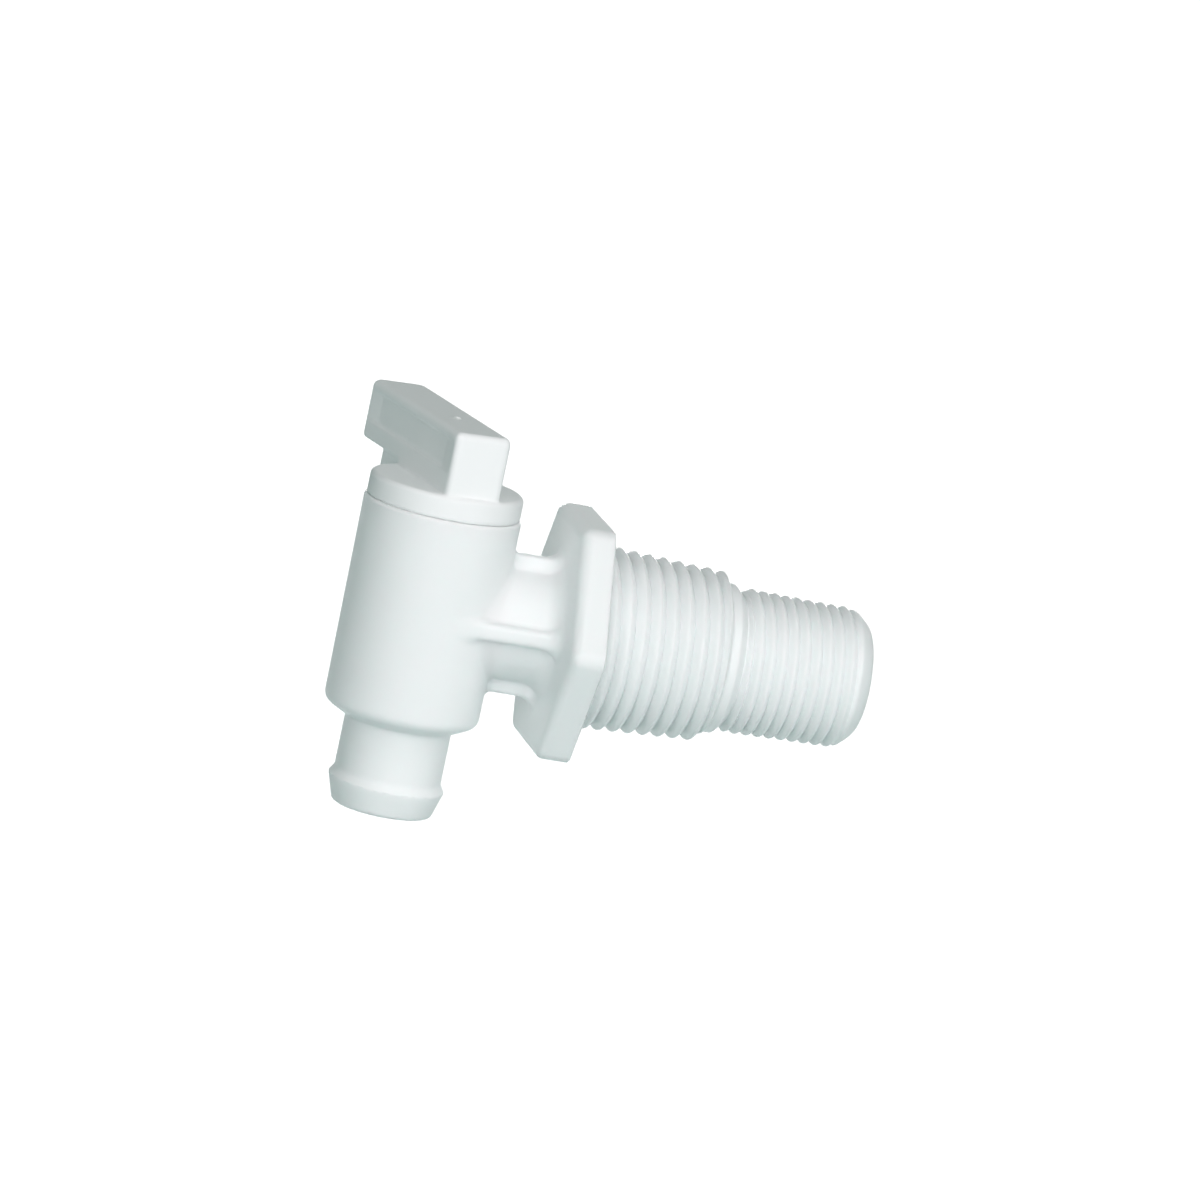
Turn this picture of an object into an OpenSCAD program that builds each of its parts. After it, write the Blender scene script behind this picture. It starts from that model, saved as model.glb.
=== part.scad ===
// Tank drain valve: a quarter-turn plug valve moulded in white polypropylene.
// The origin is the centre of the tank-side face of the hexagon. +X runs along the inlet, out of the
// threaded end, and +Z runs up the plug. All sizes are millimetres.

/* [Inlet] */
// Distance from the plug's axis to the tank-side face of the hexagon
plug_to_face = 19.2; // [17.5:0.1:28]
// Radius of the round inlet tube between the barrel and the hexagon
tube_r = 6.7; // [6.2:0.1:7.6]
// Reach of the four ribs from the inlet's axis
rib_reach = 8.4; // [7.8:0.1:9]
// Thickness of a rib
rib_thick = 2; // [1.2:0.1:3]
// Radius of the water passage in the inlet
inlet_bore_r = 4.6; // [3.6:0.1:5]

/* [Hexagon] */
// Size of the hexagon across its flats
hex_flats = 28; // [24:0.5:34]
// Thickness of the hexagon
hex_thick = 4; // [3:0.1:6]
// Chamfer round the hexagon's edge on the barrel side
hex_chamfer = 1.2; // [0.3:0.1:2]

/* [Threads] */
// Radius over the crests of the large thread
tank_thread_r = 10.67; // [10:0.01:13]
// Length of the large thread
tank_thread_len = 15.7; // [10:0.1:24]
// Pitch of the large thread
tank_pitch = 1.814; // [1.5:0.001:2.2]
// Depth of the large thread
tank_depth = 1; // [0.6:0.05:1.3]
// Length from the large thread's last crest to the groove between the threads
run_out_len = 2.2; // [1:0.1:4]
// Radius of the plain ledge past the large thread
ledge_r = 9; // [8.7:0.1:9.4]
// Radius over the crests of the small thread
inlet_thread_r = 8.57; // [8:0.01:9.4]
// Length of the small thread
inlet_thread_len = 13.5; // [8:0.1:20]
// Pitch of the small thread
inlet_pitch = 1.411; // [1.2:0.001:1.6]
// Depth of the small thread
inlet_depth = 0.8; // [0.4:0.05:1]
// Depth of the groove between the two threads, below the small thread's crests
groove_depth = 0.95; // [0.4:0.05:1.2]
// Width of the floor of that groove
groove_floor_len = 0.6; // [0.2:0.1:1.5]
// Length of the chamfered end of the inlet
inlet_end_len = 1.6; // [0.8:0.1:2.4]
// How far the chamfered end comes in from the small thread's crests
inlet_end_inset = 2; // [1:0.1:2.2]

/* [Barrel] */
// Outer radius of the barrel at its rim
barrel_r = 9.35; // [9:0.05:11]
// Moulding draft, as the loss of radius from the rim to the foot
barrel_draft = 0.15; // [0:0.05:0.4]
// Height of the barrel's rim above the inlet's axis
barrel_rise = 12.35; // [11.5:0.05:18]
// Depth of the barrel's straight wall below the inlet's axis
barrel_drop = 11.6; // [11.2:0.1:16]
// Wall round the plug
barrel_wall = 2.35; // [2.1:0.05:2.8]
// Floor below the plug, over the foot of the straight wall
floor_rise = 0.4; // [0.2:0.1:1.2]
// Rounding of the barrel's foot
foot_round = 1.3; // [0.6:0.1:1.6]
// Height of the cone from the foot's rounding to the hose tail
shoulder_drop = 0.7; // [0.3:0.1:2]
// Size of the slope that fills the corner between that cone and the hose tail
shoulder_fill = 0.55; // [0.2:0.05:1]

/* [Hose tail] */
// Outer radius of the hose tail
tail_r = 6.35; // [6:0.05:7]
// Length of the plain hose tail, from the shoulder to the bead
tail_len = 6.8; // [4:0.1:14]
// Reach of the bead beyond the tail
bead_reach = 0.55; // [0.2:0.05:1]
// Length of the tapered nose from the bead to the open end
nose_len = 3.2; // [2.6:0.1:6]
// Rounding of the open end
nose_round = 1.1; // [0.6:0.1:1.2]
// Radius of the water passage in the hose tail
outlet_bore_r = 4; // [3.8:0.1:4.6]
// Radius of the hole in the floor between the barrel and the hose tail
floor_hole_r = 3.5; // [2.6:0.1:3.7]

/* [Plug] */
// Gap between the plug and the barrel all round
running_gap = 0.05; // [0.03:0.01:0.1]
// Gap under the plug and under its cap
end_gap = 0.1; // [0.05:0.05:0.3]
// Radius of the passage inside the plug and of the port in its side
port_r = 3.6; // [3:0.1:4.1]
// Reach of the ridge that snaps under the step in the barrel
snap_reach = 0.3; // [0.15:0.05:0.5]
// Height of the snap ridge
snap_len = 0.8; // [0.5:0.1:1.2]
// Half width of the stop key under the cap, as an angle in degrees
key_half = 9; // [5:1:15]
// Depth of the stop key below the cap
key_drop = 1.6; // [1:0.1:2.2]
// Radial thickness of the stop key
key_thick = 1.1; // [0.8:0.1:1.3]
// Gap round the stop key
key_gap = 0.15; // [0.1:0.05:0.3]

/* [Cap] */
// How far the cap's wall stands in from the barrel's rim
cap_inset = 0.25; // [0.1:0.05:0.6]
// Height of the cap
cap_height = 2.75; // [2:0.05:4]
// Rounding of the cap's top edge
cap_round = 0.6; // [0.3:0.1:1]

/* [Lever] */
// Reach of the lever from the plug's axis to its long end
lever_out = 20.9; // [16:0.1:30]
// Reach of the lever from the plug's axis to its short end
lever_back = 8.4; // [6:0.1:8.5]
// Width of the lever
lever_wide = 6.95; // [5.5:0.05:8]
// Height of the lever above the cap
lever_tall = 7.5; // [6:0.1:10]
// Height of the lever's underside above the cap, where the lever runs clear of it
lever_lift = 0.65; // [0.3:0.05:1.2]
// Rounding of the lever's long end, in plan and under its nose
lever_nose = 1.6; // [0.8:0.1:2.2]
// Rounding of the lever's other corners
lever_corner = 0.8; // [0.3:0.1:1]
// Depth of the panel sunk in each side of the lever
panel_depth = 0.5; // [0.3:0.1:1.2]
// Rim above the sunk panel
panel_top_rim = 1.2; // [0.8:0.1:2]
// Rim below the sunk panel
panel_foot_rim = 2.7; // [1.6:0.1:3]
// Rim at each end of the sunk panel
panel_end_rim = 1.1; // [0.8:0.1:2]
// Reach of the web under the lever beyond the cap's wall
web_reach = 5.7; // [2:0.1:6.5]
// Width of the web under the lever
web_wide = 5; // [3:0.1:5.4]
// Turn of the lever past its closed stop, as the valve stands here, in degrees
lever_turn = 11; // [0:0.5:90]

/* [Seals] */
// Thickness of a ring seal's section as it sits in its groove
ring_thick = 1.4; // [1:0.1:1.6]
// Room along the plug beside a ring seal in its groove
ring_side_gap = 0.4; // [0.2:0.1:0.6]
// Gap between a seal and the surface that slides on it
seal_gap = 0.03; // [0.02:0.01:0.05]
// Wall of the seat seal round the inlet's port
seat_wall = 1.2; // [0.8:0.1:1.4]
// How far the seat seal's hole stands back from the water passage
seat_lip = 0.3; // [0.1:0.1:0.5]
// Depth of the seat seal's pocket beyond the plug's bore
seat_depth = 1.4; // [1:0.1:1.6]

/* [Hidden] */

// A quarter turn lies between the closed stop and the open stop.
QUARTER = 90;
// Height that lets a cut run clear of the face that it opens.
CUT = 1;
ROUND_STEPS = 8;
// Angle through which the barrel's foot rounds off before its cone begins.
FOOT_SWEEP = 62;
RING_SIDES = 96;
RIB_SIDES = 32;

white = [0.93, 0.95, 0.95];
ring_black = [0.1, 0.1, 0.11];
seat_grey = [0.35, 0.36, 0.37];

plug_bore_r = barrel_r - barrel_wall;
plug_r = plug_bore_r - running_gap;
foot_r = barrel_r - barrel_draft;
floor_z = -barrel_drop + floor_rise;
plug_foot_z = floor_z + end_gap;
cap_foot_z = barrel_rise + end_gap;
cap_top_z = cap_foot_z + cap_height;
cap_r = barrel_r - cap_inset;
rim_round = cap_inset;

foot_round_z = -barrel_drop - foot_round;
tail_top_z = foot_round_z - shoulder_drop;
bead_z = tail_top_z - tail_len;
bead_rise = bead_reach * 1.3;
bead_r = tail_r + bead_reach;
nose_end_z = bead_z - bead_rise - nose_len;
// The hose tail's passage steps in level with the foot of the barrel's rounding.
outlet_step_z = foot_round_z;

hex_corner_r = hex_flats / 2 / cos(30);
step_x = tank_thread_len + run_out_len;
ledge_x = tank_thread_len + run_out_len / 4;
ledge_end_x = step_x - run_out_len / 3;
groove_r = inlet_thread_r - groove_depth;
groove_end_x = step_x + groove_floor_len;
inlet_thread_x = groove_end_x + groove_depth / 2;
inlet_thread_end_x = inlet_thread_x + inlet_thread_len;
inlet_end_x = inlet_thread_end_x + inlet_end_len;

seat_bore_r = inlet_bore_r + seat_lip;
seat_r = seat_bore_r + seat_wall;
seat_floor_x = plug_bore_r + seat_depth;
ring_groove_len = ring_thick + ring_side_gap;
ring_floor_r = plug_bore_r - seal_gap - ring_thick;
ring_mid_r = ring_floor_r + ring_thick / 2;
// Each ring seal clears the seat seal by the room beside it.
ring_z = seat_r + ring_side_gap + ring_groove_len / 2;
snap_foot_z = plug_foot_z + snap_len / 2;
snap_top_z = snap_foot_z + snap_len;

// Angles are measured from +X, seen from above. The port faces away from the lever.
closed_angle = QUARTER;
lever_angle = closed_angle + lever_turn;
port_angle = lever_angle + 180;
key_r = plug_bore_r + key_thick;
lever_top_z = cap_top_z + lever_tall;
lever_foot_z = cap_top_z + lever_lift;
web_end = cap_r + web_reach;

// Points on an arc of radius r about [cx, cy], from angle a to angle b.
function arc(cx, cy, r, a, b) =
    [for (i = [0 : ROUND_STEPS]) let (t = a + (b - a) * i / ROUND_STEPS) [cx + r * cos(t), cy + r * sin(t)]];

// Outline of the ridges of a thread between x = start and x = finish, as [radius, x]. Each ridge has a
// flat crest a quarter of the pitch long at radius r. The first crest takes up what is left over.
function ridges(start, finish, pitch, r, depth) =
    let (crest = pitch / 4, turns = floor((finish - start - crest) / pitch))
    concat([[r, start], [r, finish - turns * pitch]],
           [for (i = [1 : turns]) let (x = finish - (turns - i) * pitch)
               each [[r - depth, x - (pitch + crest) / 2], [r, x - crest], [r, x]]]);

// Turns a shape made along +Z so that it lies along +X, and moves its start to x.
module along_x(x) {
    translate([x, 0, 0]) rotate([0, 90, 0]) children();
}

// Moves a shape from the origin to the plug's axis.
module at_plug() {
    translate([-plug_to_face, 0, 0]) children();
}

// A pie slice of radius r and height h that spans the angles from a to b, less than half a turn apart.
module slice(r, h, a, b) {
    far = r / cos((b - a) / 4);
    linear_extrude(height = h)
        polygon([[0, 0], [r * cos(a), r * sin(a)], [far * cos((3 * a + b) / 4), far * sin((3 * a + b) / 4)],
                 [r * cos((a + b) / 2), r * sin((a + b) / 2)],
                 [far * cos((a + 3 * b) / 4), far * sin((a + 3 * b) / 4)], [r * cos(b), r * sin(b)]]);
}

// The barrel and hose tail, one turned form about the plug's axis.
module barrel_form() {
    rotate_extrude($fn = RING_SIDES)
        polygon(concat(
            [[0, nose_end_z]],
            arc(tail_r - nose_round, nose_end_z + nose_round, nose_round, -90, 0),
            [[tail_r, bead_z - bead_rise - nose_len / 2]],
            [[bead_r, bead_z - bead_rise - bead_reach / 2]],
            [[bead_r, bead_z - bead_rise]],
            [[tail_r, bead_z]],
            [[tail_r, tail_top_z - shoulder_fill], [tail_r + shoulder_fill, tail_top_z]],
            arc(foot_r - foot_round, -barrel_drop, foot_round, -FOOT_SWEEP, 0),
            arc(barrel_r - rim_round, barrel_rise - rim_round, rim_round, 0, 90),
            [[0, barrel_rise]]));
}

// One rib of the inlet tube, in section, with its outer edge rounded.
module rib_section() {
    edge = rib_thick / 4;
    translate([0, -rib_thick / 2]) square([rib_reach - edge, rib_thick]);
    translate([0, edge - rib_thick / 2]) square([rib_reach, rib_thick - 2 * edge]);
    for (side = [-1, 1])
        translate([rib_reach - edge, side * (rib_thick / 2 - edge)]) circle(r = edge, $fn = RIB_SIDES);
}

// The round tube and its four ribs, from the plug's axis to the hexagon.
module ribbed_tube() {
    along_x(-plug_to_face) linear_extrude(height = plug_to_face - hex_thick / 2) {
        circle(r = tube_r, $fn = RING_SIDES);
        for (turn = [0 : 3]) rotate(turn * QUARTER) rib_section();
    }
}

// The hexagon that a wrench grips, with a flat on top and one below.
module hexagon() {
    along_x(hex_chamfer - hex_thick) rotate(30)
        cylinder(r = hex_corner_r, h = hex_thick - hex_chamfer, $fn = 6);
    along_x(-hex_thick) rotate(30)
        cylinder(r1 = hex_corner_r - hex_chamfer, r2 = hex_corner_r, h = hex_chamfer, $fn = 6);
}

// The two threads and the chamfered end, one turned form about the inlet's axis. Rings stand for the
// helical threads.
module threaded_inlet() {
    along_x(0) rotate_extrude($fn = RING_SIDES)
        polygon(concat(
            [[0, -hex_thick / 2], [tank_thread_r, -hex_thick / 2]],
            ridges(0, tank_thread_len, tank_pitch, tank_thread_r, tank_depth),
            [[ledge_r, ledge_x], [ledge_r, ledge_end_x], [groove_r, step_x], [groove_r, groove_end_x]],
            ridges(inlet_thread_x, inlet_thread_end_x, inlet_pitch, inlet_thread_r, inlet_depth),
            [[inlet_thread_r - inlet_end_inset / 3, inlet_end_x - inlet_end_len / 3]],
            [[inlet_thread_r - inlet_end_inset, inlet_end_x], [0, inlet_end_x]]));
}

// The bore for the plug, with the step that holds its snap ridge.
module plug_bore() {
    translate([0, 0, floor_z]) cylinder(r = plug_bore_r, h = barrel_rise - floor_z + CUT, $fn = RING_SIDES);
    translate([0, 0, snap_foot_z - end_gap])
        cylinder(r = plug_r + snap_reach + running_gap, h = snap_len + 2 * end_gap, $fn = RING_SIDES);
}

// The quarter-turn recess in the rim, in which the stop key travels.
module stop_recess() {
    reach = key_half + asin(key_gap / plug_bore_r);
    foot = barrel_rise - key_drop - key_gap;
    start = closed_angle - reach;
    finish = closed_angle + QUARTER + reach;
    translate([0, 0, foot]) intersection() {
        difference() {
            cylinder(r = key_r + key_gap, h = key_drop + key_gap + CUT, $fn = RING_SIDES);
            translate([0, 0, -CUT]) cylinder(r = plug_bore_r - CUT, h = key_drop + key_gap + 3 * CUT);
        }
        slice(2 * barrel_r, key_drop + key_gap + CUT, start, finish);
    }
}

// The moulded body: barrel, hose tail, ribbed tube, hexagon and threaded inlet in one piece.
module valve_body() {
    color(white) difference() {
        union() {
            at_plug() barrel_form();
            ribbed_tube();
            hexagon();
            threaded_inlet();
        }
        at_plug() {
            plug_bore();
            stop_recess();
            along_x(0) cylinder(r = seat_r, h = seat_floor_x, $fn = RING_SIDES);
            translate([0, 0, nose_end_z - CUT])
                cylinder(r = outlet_bore_r, h = outlet_step_z - nose_end_z + CUT, $fn = RING_SIDES);
            translate([0, 0, outlet_step_z - CUT])
                cylinder(r = floor_hole_r, h = floor_z - outlet_step_z + 2 * CUT, $fn = RING_SIDES);
        }
        along_x(-plug_to_face) cylinder(r = inlet_bore_r, h = plug_to_face + inlet_end_x + CUT, $fn = RING_SIDES);
    }
}

// The plug and its cap, one turned form, with two seal grooves and the snap ridge.
module plug_form() {
    half = ring_groove_len / 2;
    rotate_extrude($fn = RING_SIDES)
        polygon(concat(
            [[0, plug_foot_z], [plug_r - snap_reach, plug_foot_z], [plug_r, snap_foot_z]],
            [[plug_r + snap_reach, snap_foot_z + snap_len / 2], [plug_r + snap_reach, snap_top_z]],
            [[plug_r, snap_top_z]],
            [[plug_r, -ring_z - half], [ring_floor_r, -ring_z - half]],
            [[ring_floor_r, half - ring_z], [plug_r, half - ring_z]],
            [[plug_r, ring_z - half], [ring_floor_r, ring_z - half]],
            [[ring_floor_r, ring_z + half], [plug_r, ring_z + half]],
            [[plug_r, cap_foot_z], [cap_r - end_gap, cap_foot_z], [cap_r, cap_foot_z + 2 * end_gap]],
            arc(cap_r - cap_round, cap_top_z - cap_round, cap_round, 0, 90),
            [[0, cap_top_z]]));
}

// A rectangle from [x0, y0] to [x1, y1], with its corners rounded by r0 at the x0 end and r1 at the x1
// end.
module rounded_bar(x0, y0, x1, y1, r0, r1) {
    polygon(concat(
        arc(x0 + r0, y0 + r0, r0, 180, 270),
        arc(x1 - r1, y0 + r1, r1, 270, 360),
        arc(x1 - r1, y1 - r1, r1, 0, 90),
        arc(x0 + r0, y1 - r0, r0, 90, 180)));
}

// The lever seen from its side: its foot runs down into the cap, and the rest stands clear of the cap.
module lever_side() {
    sunk = cap_top_z - cap_round;
    foot_end = min(lever_back, cap_r - 2 * cap_round);
    polygon(concat(
        [[-lever_back, sunk], [foot_end, sunk], [foot_end, lever_foot_z]],
        arc(lever_out - lever_nose, lever_foot_z + lever_nose, lever_nose, -QUARTER, 0),
        arc(lever_out - lever_corner, lever_top_z - lever_corner, lever_corner, 0, QUARTER),
        arc(lever_corner - lever_back, lever_top_z - lever_corner, lever_corner, QUARTER, 2 * QUARTER)));
}

// The lever with its sunk side panels and the web below it, pointing along +X from the plug's axis.
module lever_form() {
    half = lever_wide / 2;
    web_top_z = lever_foot_z + lever_corner;
    difference() {
        intersection() {
            translate([0, half, 0]) rotate([90, 0, 0]) linear_extrude(height = lever_wide) lever_side();
            translate([0, 0, cap_top_z - cap_height]) linear_extrude(height = cap_height + lever_tall + CUT)
                rounded_bar(-lever_back, -half, lever_out, half, lever_corner, lever_nose);
        }
        for (side = [0, 1]) mirror([0, side, 0])
            translate([0, half + CUT, 0]) rotate([90, 0, 0]) linear_extrude(height = panel_depth + CUT)
                rounded_bar(panel_end_rim - lever_back, cap_top_z + panel_foot_rim,
                            lever_out - panel_end_rim, lever_top_z - panel_top_rim, lever_corner, lever_corner);
    }
    translate([0, web_wide / 2, 0]) rotate([90, 0, 0]) linear_extrude(height = web_wide)
        polygon([[cap_r - 2 * cap_round, web_top_z], [web_end, web_top_z],
                 [web_end, cap_top_z - cap_height / 2], [cap_r + cap_round, cap_foot_z + 3 * end_gap],
                 [cap_r - 2 * cap_round, cap_foot_z + 3 * end_gap]]);
}

// The stop key under the cap, which travels in the recess in the barrel's rim.
module stop_key() {
    foot = barrel_rise - key_drop;
    translate([0, 0, foot]) intersection() {
        difference() {
            cylinder(r = key_r, h = key_drop + 2 * end_gap, $fn = RING_SIDES);
            translate([0, 0, -CUT]) cylinder(r = plug_r - CUT / 2, h = key_drop + 3 * CUT);
        }
        slice(2 * barrel_r, key_drop + 2 * end_gap, lever_angle - key_half, lever_angle + key_half);
    }
}

// The turning piece: plug, cap and lever in one moulding. Water enters its side port and leaves below.
module plug_lever() {
    color(white) at_plug() difference() {
        union() {
            plug_form();
            stop_key();
            rotate(lever_angle) lever_form();
        }
        translate([0, 0, plug_foot_z - CUT])
            cylinder(r = port_r, h = port_r - plug_foot_z + CUT, $fn = RING_SIDES);
        rotate(port_angle) along_x(0) cylinder(r = port_r, h = plug_r + CUT, $fn = RING_SIDES);
    }
}

// A ring seal on the plug, centred at height z.
module ring_seal(z) {
    color(ring_black) at_plug() translate([0, 0, z])
        rotate_extrude($fn = RING_SIDES) translate([ring_mid_r, 0]) circle(r = ring_thick / 2, $fn = RIB_SIDES);
}

module upper_ring() { ring_seal(ring_z); }

module lower_ring() { ring_seal(-ring_z); }

// The seat seal: a short sleeve round the inlet's port, with its face hollowed to fit the plug.
module seat_seal() {
    color(seat_grey) at_plug() difference() {
        along_x(0) cylinder(r = seat_r, h = seat_floor_x, $fn = RING_SIDES);
        along_x(-CUT) cylinder(r = seat_bore_r, h = seat_floor_x + 2 * CUT, $fn = RING_SIDES);
        translate([0, 0, -2 * seat_r]) cylinder(r = plug_r + seal_gap, h = 4 * seat_r, $fn = RING_SIDES);
    }
}

valve_body();
plug_lever();
upper_ring();
lower_ring();
seat_seal();
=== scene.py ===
"""Looks of a moulded tank drain valve: its shells, threads, seals, finishes, light and camera.

The construction frame gives every piece its place. Sizes here are in millimetres unless a name says
metres, and each mesh is turned to metres when it is finished.
"""
from __future__ import annotations

import logging
import math
from dataclasses import dataclass, field, replace
from enum import Enum
from typing import Callable, Sequence

import bmesh
import bpy
import numpy as np
import openvdb
from mathutils import Matrix, Vector

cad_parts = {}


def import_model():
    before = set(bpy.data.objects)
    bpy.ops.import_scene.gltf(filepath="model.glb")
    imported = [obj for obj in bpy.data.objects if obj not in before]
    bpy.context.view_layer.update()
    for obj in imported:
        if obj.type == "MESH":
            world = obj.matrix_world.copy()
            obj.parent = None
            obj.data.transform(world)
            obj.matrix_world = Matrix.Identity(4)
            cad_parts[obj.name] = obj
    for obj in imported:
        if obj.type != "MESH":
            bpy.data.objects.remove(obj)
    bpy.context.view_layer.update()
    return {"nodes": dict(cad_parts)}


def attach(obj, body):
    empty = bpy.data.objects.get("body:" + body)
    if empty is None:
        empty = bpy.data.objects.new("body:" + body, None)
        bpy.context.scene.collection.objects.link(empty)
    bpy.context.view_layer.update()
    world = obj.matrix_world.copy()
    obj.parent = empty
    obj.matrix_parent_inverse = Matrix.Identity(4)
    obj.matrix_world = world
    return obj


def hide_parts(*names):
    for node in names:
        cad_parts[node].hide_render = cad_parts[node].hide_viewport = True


LOG = logging.getLogger("drain_valve")

MM = 0.001
NO_SPAN = 1e-12
INNER = -20.0  # Past the axis, so that a turned outline covers it.
FAR = 60.0  # Past every form, so that a tool cuts right through.
HEXAGON_TURN = math.radians(30)

Array = np.ndarray
Field = Callable[[Array], Array]
Outline = list[tuple[float, float]]
Triple = tuple[float, float, float]
Values = dict[str, object]
Piece = bpy.types.Object
Socket = bpy.types.NodeSocket


class Body(Enum):
    """The rigid bodies of the construction frame."""

    FIXED = "body"
    TURNING = "plug"


class Slot(Enum):
    """The material slots of the record."""

    BODY_PLASTIC = "white_plastic"
    LEVER_PLASTIC = "lever_plastic"
    RING_RUBBER = "seal_rubber"
    SEAT_RUBBER = "seat_rubber"


# Distance fields. Each takes points in millimetres and gives a distance that is negative inside.


def arc(cx: float, cy: float, radius: float, start: float, end: float, steps: int = 8) -> Outline:
    """Gives points on an arc.

    Args:
        cx: First coordinate of the centre.
        cy: Second coordinate of the centre.
        radius: Radius of the arc.
        start: Angle of the first point, in degrees.
        end: Angle of the last point, in degrees.
        steps: Number of chords.

    Returns:
        The points, from start to end.
    """
    angles = np.radians(np.linspace(start, end, steps + 1))
    return [(cx + radius * math.cos(t), cy + radius * math.sin(t)) for t in angles]


def rounded_box_outline(
    low: tuple[float, float], high: tuple[float, float], radii: Sequence[float]
) -> Outline:
    """Gives a rectangle with rounded corners.

    Args:
        low: Lower left corner.
        high: Upper right corner.
        radii: Corner radii, anticlockwise from the lower left one.

    Returns:
        The outline, anticlockwise.
    """
    (x0, y0), (x1, y1) = low, high
    a, b, c, d = radii
    return (
        arc(x0 + a, y0 + a, a, 180, 270)
        + arc(x1 - b, y0 + b, b, 270, 360)
        + arc(x1 - c, y1 - c, c, 0, 90)
        + arc(x0 + d, y1 - d, d, 90, 180)
    )


def outline_distance(u: Array, v: Array, outline: Outline) -> Array:
    """Measures the distance to a closed outline.

    Args:
        u: First coordinates of the points.
        v: Second coordinates of the points.
        outline: Corners of the outline.

    Returns:
        Signed distances, negative inside.
    """
    nearest = np.full(u.shape, np.inf)
    inside = np.zeros(u.shape, bool)
    for (ax, ay), (bx, by) in zip(outline, outline[1:] + outline[:1]):
        ex, ey = bx - ax, by - ay
        span = ex * ex + ey * ey
        if span < NO_SPAN:
            continue
        along = np.clip(((u - ax) * ex + (v - ay) * ey) / span, 0, 1)
        nearest = np.minimum(nearest, (u - ax - along * ex) ** 2 + (v - ay - along * ey) ** 2)
        if ey:
            crosses = (ay > v) != (by > v)
            inside ^= crosses & (u < ax + (v - ay) / ey * ex)
    return np.where(inside, -1, 1) * np.sqrt(nearest)


def filleted(a: Array, b: Array, radius: float) -> Array:
    """Joins two shapes with a fillet of the given radius between them."""
    corner = np.hypot(np.maximum(radius - a, 0), np.maximum(radius - b, 0))
    return np.maximum(radius, np.minimum(a, b)) - corner


def rounded_overlap(a: Array, b: Array, radius: float | Array) -> Array:
    """Keeps what two shapes share, and rounds the edge between them."""
    corner = np.hypot(np.maximum(radius + a, 0), np.maximum(radius + b, 0))
    return np.minimum(-radius, np.maximum(a, b)) + corner


def carved(shape: Array, tool: Array, radius: float) -> Array:
    """Cuts a tool from a shape, and rounds the edge of the cut."""
    return rounded_overlap(shape, -tool, radius)


def rod(across_a: Array, across_b: Array, along: Array, radius: float, low: float, high: float) -> Array:
    """Measures the distance to a straight round rod.

    Args:
        across_a: First coordinate across the rod.
        across_b: Second coordinate across the rod.
        along: Coordinate along the rod.
        radius: Radius of the rod.
        low: Where the rod starts.
        high: Where the rod ends.

    Returns:
        Signed distances, negative inside.
    """
    return np.maximum(np.hypot(across_a, across_b) - radius, np.maximum(low - along, along - high))


@dataclass(frozen=True)
class Moulding:
    """Turns a distance field into a closed mesh whose points lie on the surface."""

    shape: Field
    low: Triple
    high: Triple
    step: float = 0.27
    settle_rounds: int = 4
    probe: float = 0.01
    margin_cells: int = 3
    least_slope: float = 0.2
    least_drift: float = 1e-9

    def sampled(self) -> tuple[Array, Array]:
        """Samples the field on a regular grid.

        Returns:
            The grid of distances and the place of its first sample.
        """
        margin = self.margin_cells * self.step
        low = np.array(self.low) - margin
        counts = np.ceil((np.array(self.high) + margin - low) / self.step).astype(int)
        axes = [low[i] + self.step * np.arange(counts[i]) for i in range(3)]
        y, z = np.meshgrid(axes[1], axes[2], indexing="ij")
        grid = np.empty(tuple(counts), np.float32)
        for index, x in enumerate(axes[0]):
            points = np.stack([np.full(y.shape, x), y, z], -1).reshape(-1, 3)
            grid[index] = self.shape(points).reshape(y.shape)
        return grid, low

    def slope(self, points: Array) -> Array:
        """Measures how the field rises at each point, along each axis.

        Args:
            points: The points.

        Returns:
            The rise along each axis, one row for each point.
        """
        columns = []
        for axis in range(3):
            offset = np.zeros(3)
            offset[axis] = self.probe
            columns.append((self.shape(points + offset) - self.shape(points - offset)) / (2 * self.probe))
        return np.stack(columns, -1)

    def settled(self, points: Array) -> Array:
        """Moves rough points onto the surface, never by more than a cell.

        Args:
            points: The rough points.

        Returns:
            The moved points.
        """
        start = points.copy()
        for _ in range(self.settle_rounds):
            slope = self.slope(points)
            steep = np.maximum((slope**2).sum(-1), self.least_slope)
            points = points - (self.shape(points) / steep)[:, None] * slope
        drift = points - start
        length = np.linalg.norm(drift, axis=-1, keepdims=True)
        return start + drift * np.minimum(1, self.step / np.maximum(length, self.least_drift))

    def mesh(self, name: str) -> bpy.types.Mesh:
        """Makes the mesh, in metres and with its faces outwards.

        Args:
            name: Name of the mesh.

        Returns:
            The closed mesh.
        """
        samples, low = self.sampled()
        grid = openvdb.FloatGrid(background=float(self.margin_cells * self.step))
        grid.copyFromArray(samples)
        points, quads = grid.convertToQuads(0.0)
        points = self.settled(points.astype(float) * self.step + low)
        mesh = bpy.data.meshes.new(name)
        mesh.from_pydata((points * MM).tolist(), [], quads[:, ::-1].tolist())
        mesh.update()
        return mesh


# Shared mesh work


def linked_object(name: str, mesh: bpy.types.Mesh) -> Piece:
    """Puts a mesh in the scene as an object at the origin.

    Args:
        name: Name of the object.
        mesh: Its mesh.

    Returns:
        The object.
    """
    piece = bpy.data.objects.new(name, mesh)
    bpy.context.scene.collection.objects.link(piece)
    return piece


def facing_out(mesh: bpy.types.Mesh) -> None:
    """Turns a closed mesh right side out, if its volume says that it is inside out.

    Args:
        mesh: The mesh.
    """
    shell = bmesh.new()
    shell.from_mesh(mesh)
    if shell.calc_volume(signed=True) < 0:
        bmesh.ops.reverse_faces(shell, faces=shell.faces)
    shell.to_mesh(mesh)
    shell.free()


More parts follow.
